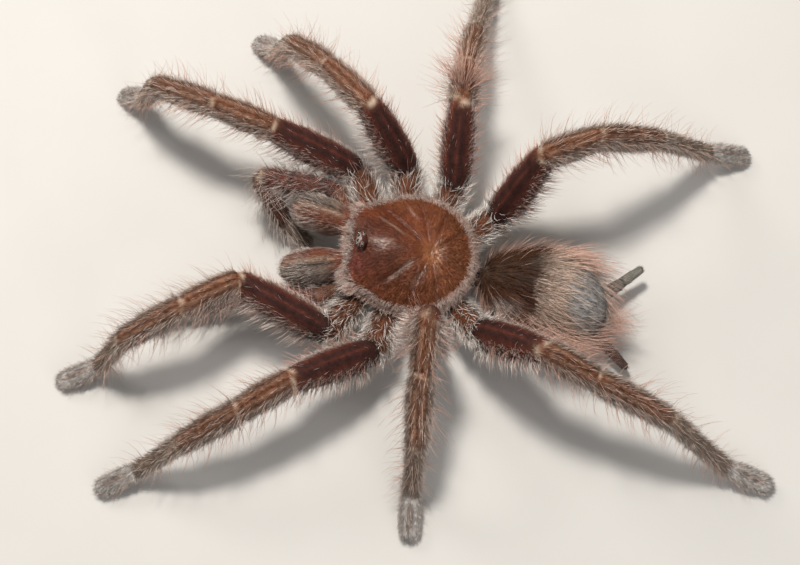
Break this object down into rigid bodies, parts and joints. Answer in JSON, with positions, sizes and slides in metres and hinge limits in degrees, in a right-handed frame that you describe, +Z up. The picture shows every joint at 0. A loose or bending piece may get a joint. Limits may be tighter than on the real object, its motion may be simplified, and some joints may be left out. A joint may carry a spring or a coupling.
{
  "type": "tarantula",
  "caption": "Large brown ground tarantula, a still life-size model standing with its legs spread, coated in short velvet and long pale hairs.",
  "frame": {"origin": "middle of the model's box in plan, at the level of the floor that the feet stand on", "axes": "+Z up; the head points along -Y; the animal's left side is +X"},
  "size_m": [0.173, 0.1934, 0.0452],
  "materials": {
    "carapace": "short rust-brown velvet over a shell plate, lines running out from the pit",
    "underside": "dark brown velvet",
    "abdomen": "dark brown in front, beige grey behind, long pale hairs",
    "femur": "dark maroon-brown velvet with reddish edges",
    "leg": "brown velvet with pale bare stripes and long pinkish hairs",
    "foot": "blue-grey velvet pad with a brown stripe",
    "jaw": "reddish velvet with pale grey hairs",
    "fang": "black, polished",
    "eye": "black, wet gloss",
    "spinneret": "grey velvet in rings"
  },
  "bodies": {
    "root": {"carapace": "carapace", "sternum": "underside", "pedicel": "underside", "abdomen": "abdomen", "eyes": "eye", "chelicera_left": "jaw", "fang_left": "fang", "spinneret_left": "spinneret", "palp_left_coxa": "leg", "palp_left_femur": "femur", "palp_left_shank": "leg", "palp_left_tarsus": "foot", "chelicera_right": "jaw", "fang_right": "fang", "spinneret_right": "spinneret", "palp_right_coxa": "leg", "palp_right_femur": "femur", "palp_right_shank": "leg", "palp_right_tarsus": "foot", "leg_left_1_coxa": "leg", "leg_left_1_femur": "femur", "leg_left_1_patella": "leg", "leg_left_1_tibia": "leg", "leg_left_1_foot": "foot", "leg_left_2_coxa": "leg", "leg_left_2_femur": "femur", "leg_left_2_patella": "leg", "leg_left_2_tibia": "leg", "leg_left_2_foot": "foot", "leg_left_3_coxa": "leg", "leg_left_3_femur": "femur", "leg_left_3_patella": "leg", "leg_left_3_tibia": "leg", "leg_left_3_foot": "foot", "leg_left_4_coxa": "leg", "leg_left_4_femur": "femur", "leg_left_4_patella": "leg", "leg_left_4_tibia": "leg", "leg_left_4_foot": "foot", "leg_right_1_coxa": "leg", "leg_right_1_femur": "femur", "leg_right_1_patella": "leg", "leg_right_1_tibia": "leg", "leg_right_1_foot": "foot", "leg_right_2_coxa": "leg", "leg_right_2_femur": "femur", "leg_right_2_patella": "leg", "leg_right_2_tibia": "leg", "leg_right_2_foot": "foot", "leg_right_3_coxa": "leg", "leg_right_3_femur": "femur", "leg_right_3_patella": "leg", "leg_right_3_tibia": "leg", "leg_right_3_foot": "foot", "leg_right_4_coxa": "leg", "leg_right_4_femur": "femur", "leg_right_4_patella": "leg", "leg_right_4_tibia": "leg", "leg_right_4_foot": "foot"}
  },
  "joints": []
}
